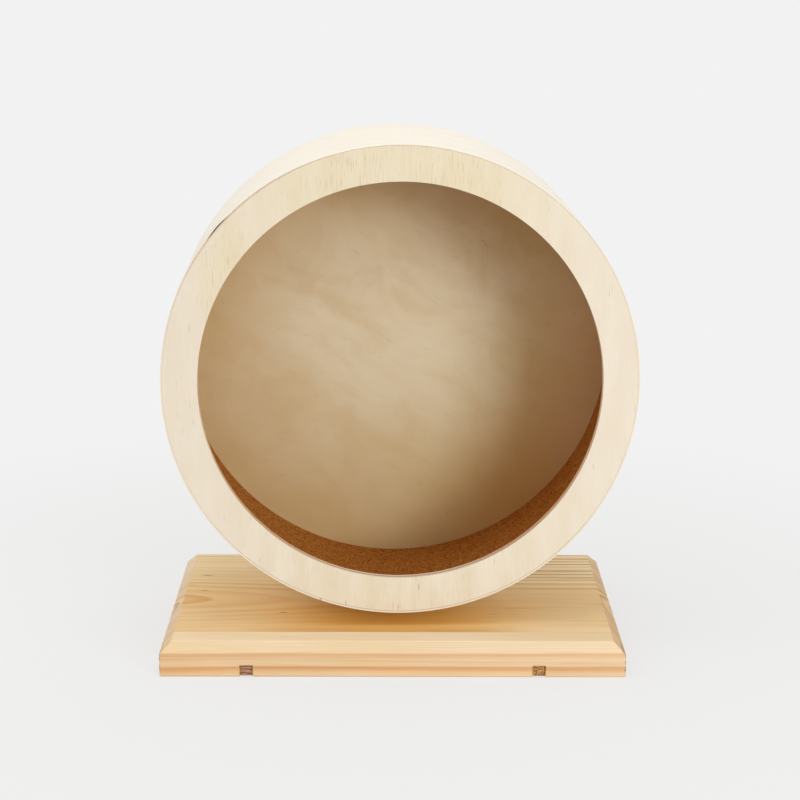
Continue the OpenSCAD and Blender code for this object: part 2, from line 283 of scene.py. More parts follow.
def growth_lines(wood, spot, heart_y, heart_z, lean, ring, wander, uneven=1.5, start=0.0,
                 soft=0.40, straight_from=1000.0):
    """The dark line that ends each year's growth in a log, so that it meets on every side. The
    log's heart runs along X and leans as far as straight_from. Years are a ring apart, uneven
    by up to that share of one, and a line takes up its soft end."""
    drift = wood.noise(wood.stretch(spot, 0.0042, 0.014, 0.014), rough=0.45)
    ripple = wood.noise(wood.stretch(spot, 0.016, 0.07, 0.07))
    x, y, z = wood.axes(spot)
    x = wood.math("SMOOTH_MIN", x, straight_from, 50.0)
    dy = wood.minus(y, heart_y)
    dz = wood.minus(wood.times(x, lean, z), heart_z)
    reach = wood.math("SQRT", wood.times(dy, dy, wood.times(dz, dz)))
    reach = wood.times(wood.minus(drift, 0.5), wander, reach)
    reach = wood.times(wood.minus(ripple, 0.5), wander * 0.26, reach)
    years = wood.over(reach, ring)
    odd = wood.add("TexNoise", {"W": years, "Scale": 0.45, "Detail": 2.0}, noise_dimensions="1D")
    years = wood.plus(wood.times(odd, uneven, years), start)
    share = wood.math("FRACT", years)
    strength = wood.add("TexWhiteNoise", {"W": wood.math("FLOOR", years)}, noise_dimensions="1D")
    strength = wood.fade(strength, 0.0, 1.0, 0.40, 1.0, "LINEAR")
    peak = 1.0 - 0.24 * soft
    rise = wood.fade(share, peak - soft, peak)
    return wood.times(wood.times(rise, wood.fade(share, peak, 1.0, 1.0, 0.0)), strength)


def shaded(wood, colour, red, green, blue):
    """A colour with each of its parts taken up or down."""
    return wood.mix(1.0, colour, wood.add("CombineColor", {0: red, 1: green, 2: blue}),
                    "MULTIPLY")


def planed_pine(wood, spot, line, early, late, end_early, end_late, along=0):
    """Planed pine: pale early wood, thin late lines, fine fibres, short resin ducts, and darker,
    crisper lines where the fibres are cut across."""
    fibre = wood.noise(wood.stretch(spot, 0.022, 1.5, 1.5), 1.0, 3.0, 0.62)
    cloud = wood.noise(wood.stretch(spot, 0.006, 0.030, 0.030))
    cut_across = wood.fade(wood.unsigned(wood.facing()[along]), 0.35, 0.80)
    colour = wood.mix(cut_across, wood.mix(line, early, late),
                      wood.mix(wood.times(line, 1.25), end_early, end_late))
    for blur, spread, levels in ((fibre, 0.28, ((0.945, 1.045), (0.92, 1.06), (0.88, 1.09))),
                                 (cloud, 0.25, ((0.97, 1.02), (0.93, 1.04), (0.84, 1.10)))):
        colour = shaded(wood, colour, *[wood.fade(blur, 0.5 - spread, 0.5 + spread, *level)
                                        for level in levels])
    ducts = wood.cells(wood.stretch(spot, 0.030, 0.42, 0.42))
    rare = wood.fade(wood.axes(ducts["Color"])[0], 0.80, 0.88)
    duct = wood.times(wood.fade(ducts["Distance"], 0.05, 0.17, 0.35, 0.0), rare)
    colour = wood.mix(duct, colour, "8A5A30")
    relief = wood.plus(wood.times(fibre, 0.35), wood.times(line, 0.10))
    bump = wood.bump(0.20, 0.00015, wood.minus(relief, duct))
    return wood.skin(colour, bump, wood.fade(line, 0.0, 1.0, 0.62, 0.52), gloss=0.15)


def resin_streak(wood, spot, x, y, length, colour):
    """Draws one short dark streak of resin along the grain over a colour."""
    apart = wood.add("VectorMath", {0: spot, 1: (x, y, 0.0)}, operation="SUBTRACT")
    ragged = wood.noise(wood.stretch(spot, 0.25, 0.9, 0.0), 1.0, 3.0, 0.6)
    reach = wood.length(wood.stretch(apart, 2.0 / length, 0.9, 0.0))
    reach = wood.plus(reach, wood.times(ragged, 0.8))
    return wood.mix(wood.fade(reach, 0.55, 1.45, 0.7, 0.0), colour, "8A5E33")


board_skew = math.radians(-1.5)
board_low, board_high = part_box("base_board")
board_centre = (board_low + board_high) / 2
board_centre.z = 0.0
lath_back = -70.5
pine = Finish("planed pine board")
board_spot = pine.millimetres(board_centre, (0.0, 0.0, -board_skew))
bx, by, bz = pine.axes(board_spot)
in_lath = pine.fade(by, lath_back - 0.15, lath_back + 0.15, 1.0, 0.0)
at_back = pine.fade(by, -4.0, 46.0)
at_ends = pine.fade(pine.unsigned(pine.facing()[0]), 0.35, 0.80)
end_shade_to_right = pine.fade(bx, -100.0, 100.0)

# The wide board's yearly lines run in a broad arch at the left and close up at the back.
wide_lines = growth_lines(pine, board_spot, heart_y=-10.0, heart_z=-12.0, lean=0.12, ring=6.2,
                          wander=5.0, soft=0.66, straight_from=-20.0)
wide_lines = pine.math("POWER", wide_lines, pine.fade(at_back, 0.0, 1.0, 1.0, 1.9))
calm_middle = pine.times(pine.fade(bx, -60.0, 15.0, 0.62, 0.08),
                         pine.fade(by, -46.0, -20.0, 0.3, 1.0))
calm_back = pine.times(pine.fade(bx, -110.0, 105.0, 0.60, 1.35),
                       pine.fade(pine.times(bx, 0.5, by), -15.0, 20.0, 0.35, 1.0))
calm = pine.larger(pine.between(at_back, calm_middle, calm_back), pine.times(at_ends, 0.75))
wide_lines = pine.times(wide_lines, calm)

# The lath comes from another log, and its finer lines show most where its ends are cut.
lath_lines = growth_lines(pine, board_spot, heart_y=-78.0, heart_z=-140.0, lean=-0.006,
                          ring=8.6, wander=4.5, uneven=0.0, start=-0.18, soft=0.50)
lath_calm = pine.times(pine.fade(bz, 14.2, 16.6, 1.0, 0.10), pine.fade(bz, 8.0, 12.0, 1.0, 0.52))
fine_lines = growth_lines(pine, board_spot, heart_y=20.0, heart_z=-60.0, lean=0.004,
                          ring=3.1, wander=3.0, uneven=1.2, start=0.4, soft=0.50)
fine_lines = pine.times(fine_lines, pine.fade(at_ends, 0.0, 1.0, 0.18, 0.85))
lath_lines = pine.times(lath_lines, lath_calm, fine_lines)
board_lines = pine.between(in_lath, wide_lines, lath_lines)

# The wide board is palest at the back right, partly as pale sapwood and partly as painted light;
# it is yellower in the middle and darker just behind the lath as painted shade under the wheel,
# with brown wisps of its own.
sapwood_and_painted_light = pine.times(pine.fade(bx, -100.0, 120.0, 0.55, 1.0), pine.fade(by, -15.0, 38.0))
wide_early = pine.mix(sapwood_and_painted_light, "F5D5A1", "FFEBC2")
wisps = pine.noise(pine.stretch(board_spot, 0.011, 0.095, 0.095), 1.0, 3.0, 0.55)
wisps = pine.times(pine.fade(wisps, 0.50, 0.70, 0.0, 0.34),
                   pine.fade(bx, -120.0, 60.0, 0.35, 1.0))
wide_early = pine.mix(wisps, wide_early, "D9994C")
# Painted shade: a warm, deep yellow patch where the wheel shades the middle of the board.
painted_wheel_shade = pine.length(pine.vector(pine.over(bx, 105.0), pine.over(pine.plus(by, 46.0), 48.0)))
painted_wheel_shade = pine.times(pine.fade(painted_wheel_shade, 0.2, 1.1, 1.0, 0.0),
                       pine.fade(bx, -95.0, -20.0, 0.62, 1.0))
wide_early = pine.mix(painted_wheel_shade, wide_early, "F2C06C")
outer = pine.fade(pine.unsigned(pine.plus(bx, 3.0)), 45.0, 105.0)
in_front = pine.fade(by, lath_back + 6.0, lath_back + 34.0, 1.0, 0.0)
wide_early = pine.mix(pine.times(in_front, pine.times(outer, 0.40)), wide_early, "F6DCB6")
# Painted shade: a darker orange band just behind the lath, under the wheel, fading to the sides.
painted_shade_behind_lath = pine.times(pine.fade(by, lath_back + 1.0, lath_back + 14.0, 0.55, 0.0),
                     pine.minus(1.0, outer))
wide_early = pine.mix(painted_shade_behind_lath, wide_early, "CF9A5C")

# The lath is paler, most of all along its top, and a thin line of glue shows behind it.
lath_early = pine.mix(pine.fade(bz, 14.4, 16.2), "F1D1A8", "F4D9B3")
lath_early = pine.mix(pine.fade(bz, 20.6, 21.1), lath_early,
                      pine.mix(pine.fade(bx, 20.0, 120.0), "FBE7C6", "F1D8AC"))
board_early = pine.mix(in_lath, wide_early, lath_early)
board_late = pine.mix(in_lath, pine.mix(at_back, "DB9544", "C68C40"), "DC9C5C")
glue = pine.fade(pine.unsigned(pine.minus(by, lath_back)), 0.1, 0.5, 0.30, 0.0)
board_early = pine.mix(glue, board_early, "C29158")
for streak_x, streak_y, streak_length in ((-123.4, 39.2, 12.0), (-122.4, 7.6, 8.0),
                                          (-69.0, -35.0, 7.0)):
    board_early = resin_streak(pine, board_spot, streak_x, streak_y, streak_length, board_early)
# The end grain darkens toward the right end, partly as its own tone and partly as painted shade.
board_pine = planed_pine(pine, board_spot, board_lines, board_early, board_late,
                         pine.mix(end_shade_to_right, "F6E1C4", "E6C396"),
                         pine.mix(end_shade_to_right, "D0A273", "8C5F35"))
board = eased_copy("base_board", "bevelled_board", 0.0005)
stands_for(board, "base_board", "stand", board_pine)


# BATTENS. Two thin hardwood strips pressed into the grooves under the board, a hair above its
# underside and a little short of its front and back. Only their sawn ends show, one with its
# rings lying flat and one coarse and speckled.
def hardwood_finish(name, centre, heart, ring, coarse, pale, fleck):
    wood = Finish(name)
    spot = wood.millimetres(centre, (0.0, 0.0, -board_skew))
    level = wood.axes(spot)
    x, z = level["X"], level["Z"]
    bend = wood.noise(wood.stretch(spot, 0.16, 0.008, 0.30))
    depth = wood.times(wood.minus(bend, 0.5), 3.2, z)
    depth = wood.plus(depth, wood.times(wood.times(x, x), 0.02))
    share = wood.math("FRACT", wood.over(wood.plus(depth, heart), ring))
    line = wood.times(wood.fade(share, 0.38, 0.80), wood.fade(share, 0.90, 1.0, 1.0, 0.0))
    pores = wood.noise(wood.stretch(spot, 1.5, 0.05, 1.5), 1.0, 3.0, 0.65)
    dots = wood.noise(wood.stretch(spot, 0.95, 0.02, 0.95), 1.0, 2.0, 0.75, 0.6)
    dot = wood.times(wood.fade(dots, 0.40, 0.56), 0.12 + 0.80 * coarse)
    end = wood.fade(wood.unsigned(wood.facing()[1]), 0.45, 0.9)
    colour = wood.mix(wood.times(line, 0.95 - 0.85 * coarse), pale, "5E3C2C")
    colour = wood.mix(wood.times(dot, wood.fade(end, 0.0, 1.0, 0.25, 1.0)), colour, "6E431C")
    colour = wood.mix(wood.fade(pores, 0.40, 0.80, 0.0, 0.45), colour, fleck)
    return wood.skin(colour, wood.bump(0.3, 0.0002, pores), 0.62, gloss=0.3)


for hand, across, heart, ring, coarse, pale, fleck in (
        ("left", -0.089, 1.6, 2.1, 0.0, "BE8F6C", "D9B58E"),
        ("right", 0.089, 0.4, 3.4, 1.0, "D8A561", "F2CB8E")):
    sawn = hardwood_finish(hand + " hardwood strip", (board_centre.x + across, 0.0, 0.0),
                           heart, ring, coarse, pale, fleck)
    batten = eased_copy(hand + "_batten", hand + "_hardwood_strip", 0.0004)
    stands_for(batten, hand + "_batten", "stand", sawn)


# POST. One upright pine board with a round head, shaped with a router, chamfered along its
# edges and sanded. It is glued and dowelled to the base and holds both bearings.
axle_height = frame["joints"][0]["pos_m"][2]
post_grain_from = (0.0, 0.076, axle_height)
upright = Finish("planed pine post")
post_spot = upright.millimetres(post_grain_from, (0.0, quarter, 0.0))
post_lines = growth_lines(upright, post_spot, heart_y=30.0, heart_z=24.0, lean=0.03, ring=5.6,
                          wander=9.0)
post_pine = planed_pine(upright, post_spot, post_lines, "F1D09B", "CE985A", "E0BB88", "A56D3A",
                        along=2)
post = eased_copy("post", "shaped_post", 0.0005)
stands_for(post, "post", "stand", post_pine)


# DOWELS. Two fluted beech pins, glued into the board and a little deeper into the post's foot.
# They are pressed round and grooved so that the glue can spread, with chamfered ends.
def fluted_pins(node, name, flutes, groove, tip):
    low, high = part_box(node)
    middle = (low + high) / 2
    radius = (high.y - low.y) / 2
    spacing = (high.x - low.x) - 2 * radius
    length = high.z - low.z
    around = flutes * 6
    levels = [(0.0, radius - tip), (tip, radius), (length - tip, radius), (length, radius - tip)]
    verts, faces = [], []
    for side in (-0.5, 0.5):
        first = len(verts)
        for height, reach in levels:
            for i in range(around):
                turn = 2 * math.pi * i / around
                dip = groove * max(0.0, math.cos(turn * flutes)) ** 2
                verts.append((middle.x + side * spacing + (reach - dip) * math.cos(turn),
                              middle.y + (reach - dip) * math.sin(turn), low.z + height))
        for row in range(len(levels) - 1):
            for i in range(around):
                j = (i + 1) % around
                at = first + row * around
                faces.append((at + i, at + j, at + around + j, at + around + i))
        faces.append(tuple(first + i for i in reversed(range(around))))
        top = first + (len(levels) - 1) * around
        faces.append(tuple(top + i for i in range(around)))
    return level_mesh(name, verts, faces)


beech = Finish("pressed beech")
beech_spot = beech.millimetres(turn=(0.0, quarter, 0.0))
beech_grain = beech.noise(beech.stretch(beech_spot, 0.08, 1.6, 1.6), 1.0, 3.0, 0.6)
beech_rays = beech.cells(beech.stretch(beech_spot, 0.5, 2.4, 2.4), 5.0)["Distance"]
beech_colour = beech.mix(beech.fade(beech_rays, 0.05, 0.2, 0.5, 0.0),
                         beech.mix(beech_grain, "D9B083", "C08F5E"), "8E5F36")
beech_skin = beech.skin(beech_colour, beech.bump(0.3, 0.0002, beech_grain), 0.58, gloss=0.3)
dowels = fluted_pins("post_dowels", "beech_dowels", flutes=14, groove=0.00035, tip=0.0012)
stands_for(dowels, "post_dowels", "stand", beech_skin)


# SCREWS. Zinc-plated countersunk wood screws with a cross recess, two up through the board into
# the post's foot and four through the hub flange into the disc. Each is cold-headed from
# wire and its thread is rolled.
class Maker(Pattern):
    """A Geometry Nodes tree with named inputs for a piece's sizes and its finish."""

    def __init__(self, name, **sizes):
        super().__init__(bpy.data.node_groups.new(name, "GeometryNodeTree"))
        sockets = self.tree.interface
        sockets.new_socket(name="Geometry", in_out="OUTPUT", socket_type="NodeSocketGeometry")
        self.keys = {}
        for label, value in sizes.items():
            kind = {float: "Float", int: "Int"}.get(type(value), "Material")
            socket = sockets.new_socket(name=label, in_out="INPUT",
                                        socket_type="NodeSocket" + kind)
            if value is not None:
                socket.default_value = value
            self.keys[label] = socket.identifier
        self.given = self.add("NodeGroupInput", out=None)

    def move(self, shape, shift=(0.0, 0.0, 0.0), turn=(0.0, 0.0, 0.0)):
        return self.add("GeometryNodeTransform", {"Geometry": shape, "Translation": shift,
                                                  "Rotation": turn})

    def close(self, shape):
        """Ends the tree: real faces, in the finish that was given."""
        real = self.add("GeometryNodeRealizeInstances", {0: shape})
        dressed = self.add("GeometryNodeSetMaterial", {"Geometry": real,
                                                       "Material": self.given["finish"]})
        self.add("NodeGroupOutput", {0: dressed}, out=None)

    def make(self, name, **sizes):
        thing = level_mesh(name, [], [])
        maker = thing.modifiers.new(name, "NODES")
        maker.node_group = self.tree
        for label, value in sizes.items():
            maker[self.keys[label]] = value
        return settle(thing)


def keep_flats(thing):
    """Lets the big faces look flat and the small rounds between them look round."""
    thing.data.shade_smooth()
    flats = thing.modifiers.new("flats", "WEIGHTED_NORMAL")
    flats.weight = 100
    return settle(thing)


def tapered(bottom, top, depth, from_head):
    """One round length of a screw, which starts that far in from its head's face."""
    cone = screws.add("GeometryNodeMeshCone", {
        "Vertices": 48, "Radius Top": top, "Radius Bottom": bottom, "Depth": depth})
    return screws.move(cone, screws.vector(z=from_head))


screws = Maker("countersunk screws", count=4, ring=0.020, place=0.0, heads_at=0.0, height=0.0,
               length=0.009, shank=0.0035, head=0.007, pitch=0.0014, upright=0.0, finish=None)
given = screws.given
shank_r = screws.times(given["shank"], 0.38)
head_r = screws.times(given["head"], 0.5)
rim_h = screws.times(given["head"], 0.035)
tip_at = screws.minus(given["length"], given["shank"])
stem_h = screws.minus(tip_at, rim_h)
blank = screws.add("GeometryNodeMeshBoolean", {1: [
    tapered(screws.times(head_r, 0.97), head_r, rim_h, 0.0),
    tapered(head_r, shank_r, screws.minus(head_r, shank_r), rim_h),
    tapered(shank_r, shank_r, stem_h, rim_h),
    tapered(shank_r, screws.times(shank_r, 0.12), given["shank"], tip_at)]},
    operation="UNION", solver="EXACT")
wing = screws.add("GeometryNodeMeshCube", {"Size": screws.vector(
    *[screws.times(given["head"], share) for share in (0.56, 0.12, 0.50)])})
cut = screws.add("GeometryNodeMeshBoolean", {0: blank, 1: [
    wing, screws.move(wing, turn=(0.0, 0.0, quarter))]}, operation="DIFFERENCE", solver="EXACT")
thread_h = screws.times(stem_h, 0.72)
helix = screws.add("GeometryNodeCurveSpiral", {
    "Resolution": 24, "Rotations": screws.over(thread_h, given["pitch"]),
    "Start Radius": shank_r, "End Radius": shank_r, "Height": thread_h, "Reverse": False})
ridge = screws.add("GeometryNodeCurvePrimitiveCircle", {
    "Resolution": 4, "Radius": screws.times(given["pitch"], 0.30)})
thread = screws.add("GeometryNodeCurveToMesh", {
    "Curve": helix, "Profile Curve": ridge, "Fill Caps": True})
thread = screws.move(thread, screws.vector(z=screws.minus(tip_at, thread_h)))
one = screws.add("GeometryNodeJoinGeometry", {0: [cut, thread]})
turn = screws.times(screws.add("GeometryNodeInputIndex"),
                    screws.over(2.0 * math.pi, given["count"]), given["place"])
spots = screws.add("GeometryNodePoints", {"Count": given["count"], "Position": screws.vector(
    *[screws.times(screws.math(way, turn), given["ring"]) for way in ("COSINE", "SINE")])})
one = screws.add("GeometryNodeInstanceOnPoints", {"Points": spots, "Instance": one})
one = screws.move(one, turn=screws.vector(x=given["upright"]))
screws.close(screws.move(one, screws.vector(y=given["heads_at"], z=given["height"])))

zinc = Finish("zinc plate")
zinc_spot = zinc.millimetres()
zinc_haze = zinc.noise(zinc_spot, 0.35, 3.0, 0.6)
zinc_scratch = zinc.noise(zinc.stretch(zinc_spot, 0.6, 6.0, 3.0), 1.0, 3.0, 0.7)
zinc_skin = zinc.skin(zinc.mix(zinc.fade(zinc_haze, 0.35, 0.70), "D2D3CF", "BDC0C2"),
                      zinc.bump(0.25, 0.00008, zinc_scratch),
                      zinc.fade(zinc_haze, 0.30, 0.75, 0.28, 0.42), metal=1.0)

foot_low, foot_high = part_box("post_screws")
foot_screws = screws.make(
    "foot_screws", count=2, ring=0.022, heads_at=(foot_low.y + foot_high.y) / 2,
    height=foot_low.z, length=foot_high.z - foot_low.z, shank=0.0045, head=0.0088, pitch=0.0021,
    finish=zinc_skin)
stands_for(keep_flats(foot_screws), "post_screws", "stand", zinc_skin)

hub_low, hub_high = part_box("flange_screws")
hub_screws = screws.make(
    "hub_screws", count=4, ring=0.020, place=quarter / 2, heads_at=hub_high.y,
    height=axle_height, length=hub_high.y - hub_low.y, shank=0.0035, head=0.0070, pitch=0.0013,
    upright=quarter, finish=zinc_skin)
stands_for(keep_flats(hub_screws), "flange_screws", "wheel", zinc_skin)


# FRONT RING. Three-ply birch, routed round with the grain of its face upright, and sanded so
# that its edges are just eased. The plies show in the mouth: those whose grain is cut across
# are darker than those cut along, so the bands change places on the way round.
def eased(outline, eases):
    """A closed outline with each corner rounded off by its own radius."""
    rounds = 4
    made = []
    for i, corner in enumerate(outline):
        here = Vector(corner)
        before = (Vector(outline[i - 1]) - here).normalized()
        after = (Vector(outline[(i + 1) % len(outline)]) - here).normalized()
        half = before.angle(after) / 2
        middle = here + (before + after).normalized() * (eases[i] / math.sin(half))
        start = here + before * (eases[i] / math.tan(half)) - middle
        end = here + after * (eases[i] / math.tan(half)) - middle
        sweep = start.angle_signed(end)
        for k in range(rounds + 1):
            made.append(middle + Matrix.Rotation(-sweep * k / rounds, 2) @ start)
    return made


def on_axle(name, verts, faces, weld=0.0):
    """Puts a piece drawn about Y on the wheel's axle, with points closer than weld made one."""
    thing = level_mesh(name, [(x, y, z + axle_height) for x, y, z in verts], faces)
    skin = bmesh.new()
    skin.from_mesh(thing.data)
    if weld:
        bmesh.ops.remove_doubles(skin, verts=skin.verts, dist=weld)
    bmesh.ops.recalc_face_normals(skin, faces=skin.faces)
    skin.to_mesh(thing.data)
    skin.free()
    return thing


def turned(name, outline, steps=480):
    """A ring turned about the axle from its closed outline of radius and place along it."""
    count = len(outline)
    verts, faces = [], []
    for i in range(steps):
        turn = 2 * math.pi * i / steps
        at, past = i * count, (i + 1) % steps * count
        verts += [(r * math.cos(turn), y, r * math.sin(turn)) for r, y in outline]
        faces += [(at + k, at + (k + 1) % count, past + (k + 1) % count, past + k)
                  for k in range(count)]
    return on_axle(name, verts, faces)


def veneer(wood, spot, pale, deep, fleck, flecks, figure=1.0, run=1.0):
    """Birch veneer with its grain along the pattern's Z: soft bands, fine pores, dark flecks.
    A run below one makes the bands and streaks longer, and above one shorter."""
    band = wood.noise(wood.stretch(spot, 0.085, 0.05, 0.010 * run), 1.0, 3.0)
    streak = wood.noise(wood.stretch(spot, 0.75, 0.4, 0.022 * run), 1.0, 3.0, 0.6)
    pores = wood.noise(wood.stretch(spot, 2.6, 1.0, 0.10), 1.0, 3.0, 0.65)
    level = wood.times(wood.plus(wood.fade(streak, 0.25, 0.75, -0.022, 0.022),
                                 wood.fade(pores, 0.25, 0.75, -0.035, 0.030)), figure)
    colour = shaded(wood, wood.mix(wood.fade(band, 0.30, 0.72), pale, deep),
                    *[wood.times(level, part, 1.0) for part in (1.0, 1.25, 1.7)])
    tilted = wood.add("VectorMath", {0: wood.stretch(spot, 0.62, 0.3, 0.062), 1: wood.vector(
        wood.times(streak, 1.2))}, operation="ADD")
    cells = wood.cells(tilted)
    crowd = wood.noise(wood.stretch(spot, 0.045, 0.05, 0.035), 1.0, 1.0)
    chosen = wood.times(wood.fade(wood.axes(cells["Color"])[0], 0.42, 0.80),
                        wood.fade(crowd, 0.38, 0.54))
    mark = wood.times(wood.fade(cells["Distance"], 0.05, 0.22, 1.0, 0.0), chosen)
    mark = wood.times(mark, flecks)
    return wood.mix(mark, colour, fleck), wood.minus(wood.times(pores, 0.5), mark)


def ply_edge(wood, depth, plies, along, across, grit):
    """The edge of a board of plies. depth runs from 0 to 1 through it; along and across say how
    squarely the edge cuts the grain of the odd and of the even plies."""
    level = wood.times(depth, plies)
    even = wood.math("MODULO", wood.math("FLOOR", level), 2.0)
    shade = wood.fade(wood.between(even, along, across), 0.15, 0.95)
    shade = wood.plus(shade, wood.fade(grit, 0.25, 0.75, -0.18, 0.18))
    seam = wood.unsigned(wood.minus(wood.math("FRACT", level), 0.5))
    return wood.mix(wood.fade(seam, 0.43, 0.49, 0.0, 0.45),
                    wood.mix(shade, "FFF4E2", "D8AE86"), "A57C58")


ring_low, ring_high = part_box("front_ring")
ring_thick = ring_high.y - ring_low.y
ring_lip = 0.0208
mouth_radius = (ring_high.x - ring_low.x) / 2 - ring_lip
band_low, band_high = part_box("rim_band")
band_outer = (band_high.x - band_low.x) / 2
band_edge = 0.0008
ring_radius = band_outer - band_edge
ring_behind = ring_radius - 0.00025
ring_rise = 0.0004
ring_swell = 0.0007
swell_reach = math.radians(40)
band_gap_at = math.radians(138.8)
outer_edge_from = ring_radius - 0.002
front_ring = turned("birch_front_ring", eased(
    [(mouth_radius, ring_low.y), (ring_radius, ring_low.y), (ring_behind, ring_high.y),
     (mouth_radius, ring_high.y)], eases=(0.0003, 0.00012, 0.0003, 0.0003)))

# It sits a hair high on the axle, and its edge swells toward the place where the band is loose.
for corner in front_ring.data.vertices:
    spoke = corner.co - Vector((0.0, corner.co.y, axle_height))
    past = min(abs(math.atan2(spoke.z, spoke.x) - band_gap_at) / swell_reach, 1.0)
    if spoke.length > outer_edge_from:
        corner.co += spoke.normalized() * ring_swell * (1 - past * past * (3 - 2 * past))
    corner.co.z += ring_rise

birch = Finish("birch ring")
ring_spot = birch.millimetres((0.0, ring_low.y, axle_height))
ring_x, ring_y, ring_z = birch.axes(ring_spot)
off_middle = birch.unsigned(ring_x)

# Yellower at the top and in a patch at the upper left, both with fine hairs; pinker at the sides.
face, face_relief = veneer(birch, ring_spot, "F1E5D1", "EBDBC1", "86603C", 0.50, 0.80, 2.2)
heart_share = birch.fade(off_middle, 45.0, 125.0, 1.0, 0.0)
face = birch.mix(birch.times(heart_share, birch.fade(ring_z, -60.0, 60.0, 0.0, 0.42)), face,
                 "EDDDB9")
face = birch.mix(birch.times(heart_share, -0.45, 0.45), face, "F2E5D8")
patch_x, patch_z = -103, 62
patch_wide, patch_tall = 24, 48
patch = birch.length(birch.vector(birch.times(ring_x, 1 / patch_wide, -patch_x / patch_wide),
                                  birch.times(ring_z, 1 / patch_tall, -patch_z / patch_tall)))
face = birch.mix(birch.fade(patch, 0.3, 1.1, 0.38, 0.0), face, "E9D7A8")
at_top = birch.times(birch.fade(ring_z, 100.0, 118.0),
                     birch.fade(off_middle, 35.0, 75.0, 1.0, 0.0))
hairs = birch.noise(birch.stretch(ring_spot, 1.5, 1.0, 0.085), rough=0.6)
hairs = birch.times(birch.fade(hairs, 0.54, 0.70, 0.0, 0.45),
                    birch.larger(at_top, birch.fade(patch, 0.5, 1.1, 0.8, 0.0)))
face = birch.mix(hairs, face, "BFA983")
face_x, face_y, face_z = (birch.unsigned(side) for side in birch.facing())
edge = ply_edge(birch, birch.over(ring_y, 1000 * ring_thick), 3, face_x, face_z,
                birch.noise(ring_spot, 1.6, rough=0.6))
on_edge = birch.fade(face_y, 0.55, 0.85, 1.0, 0.0)
ring_reach = birch.length(birch.add("VectorMath", {
    0: birch.stretch(ring_spot, 1.0, 0.0, 1.0), 1: (0.0, 0.0, 1000 * ring_rise)},
    operation="SUBTRACT"))
glued = birch.fade(ring_reach, 1000 * ring_radius - 0.40, 1000 * ring_radius - 0.10)
glued = birch.times(glued, birch.larger(birch.fade(ring_z, -130.0, -60.0, 0.85, 0.15),
                                        birch.fade(ring_z, 55.0, 120.0, 0.15, 0.45)))
ring_colour = birch.mix(glued, birch.mix(on_edge, face, edge), "B48E66")
# Painted shade: the ring's outer edge under the band is nearly black, and shows where the band
# stands off at the upper left.
painted_gap_shade = birch.math("GREATER_THAN", ring_reach, 1000 * ring_radius - 3.0)
ring_colour = birch.mix(birch.times(painted_gap_shade, on_edge), ring_colour, "3A2818")
ring_bump = birch.bump(0.25, 0.0001, birch.times(face_relief, birch.minus(1.0, on_edge)))
ring_skin = birch.skin(ring_colour, ring_bump, 0.6, gloss=0.2)
stands_for(keep_flats(front_ring), "front_ring", "wheel", ring_skin)


# RIM BAND. A strip of thin three-ply with its face grain along its length, bent once round the
# ring and the disc and glued to both, with its ends butted together below. Its front edge is
# sanded thin, and at the upper left, where the glue has let go, it stands off the ring a little.
strips = Maker("bent strip", radius=0.144, thick=0.0015, width=0.122, start=0.0,
               sweep=math.pi * 2, steps=720, rows=12, ease=0.0003, edge=0.0015, rise=0.0,
               swell=0.0, gap=0.0, gap_at=0.0, unevenness=0.0, middle=0.0, height=0.0, seed=0.0,
               finish=None)
given = strips.given
gap_reach = math.radians(5)
bend = strips.add("GeometryNodeCurveArc", {
    "Resolution": given["steps"], "Radius": given["radius"], "Start Angle": given["start"],
    "Sweep Angle": given["sweep"]})
section = strips.add("GeometryNodeCurvePrimitiveQuadrilateral", {
    "Width": given["thick"], "Height": given["width"]})
section = strips.add("GeometryNodeFilletCurve", {
    "Curve": section, "Radius": given["ease"], "Count": 3}, mode="POLY")
section = strips.add("GeometryNodeSubdivideCurve", {"Curve": section, "Cuts": given["rows"]})
strip = strips.add("GeometryNodeCurveToMesh", {
    "Curve": bend, "Profile Curve": section, "Fill Caps": True})
where = strips.add("GeometryNodeInputPosition")
flat = strips.stretch(where, 1.0, 1.0, 0.0)
spoke = strips.add("VectorMath", {0: flat}, operation="NORMALIZE")
spoke_x, spoke_y = strips.axes(spoke)[:2]
half_thick = strips.times(given["thick"], 0.5)
inward = strips.fade(strips.length(flat), strips.minus(given["radius"], half_thick),
                     strips.plus(given["radius"], half_thick), 1.0, 0.0, "LINEAR")
at_front = strips.math("GREATER_THAN", strips.axes(where)[2], strips.times(given["width"], 0.45))
thinner = strips.times(spoke_y, given["rise"], strips.minus(given["thick"], given["edge"]))
thinner = strips.times(inward, thinner)
past = strips.unsigned(strips.minus(strips.math("ARCTAN2", spoke_y, spoke_x), given["gap_at"]))
for size, reach in (("swell", swell_reach), ("gap", gap_reach)):
    thinner = strips.plus(thinner, strips.fade(past, 0.0, reach, given[size], 0.0))
lumps = strips.add("TexNoise", {"Vector": where, "W": given["seed"], "Scale": 45.0,
                                "Detail": 3.0}, noise_dimensions="4D")
lumps = strips.times(strips.minus(lumps, 0.5), given["unevenness"])
shift = strips.add("VectorMath", {0: spoke, 3: strips.times(at_front, thinner, lumps)},
                   operation="SCALE")
strip = strips.add("GeometryNodeSetPosition", {"Geometry": strip, "Offset": shift})
strips.close(strips.move(strip, strips.vector(y=given["middle"], z=given["height"]),
                         (quarter, 0.0, 0.0)))

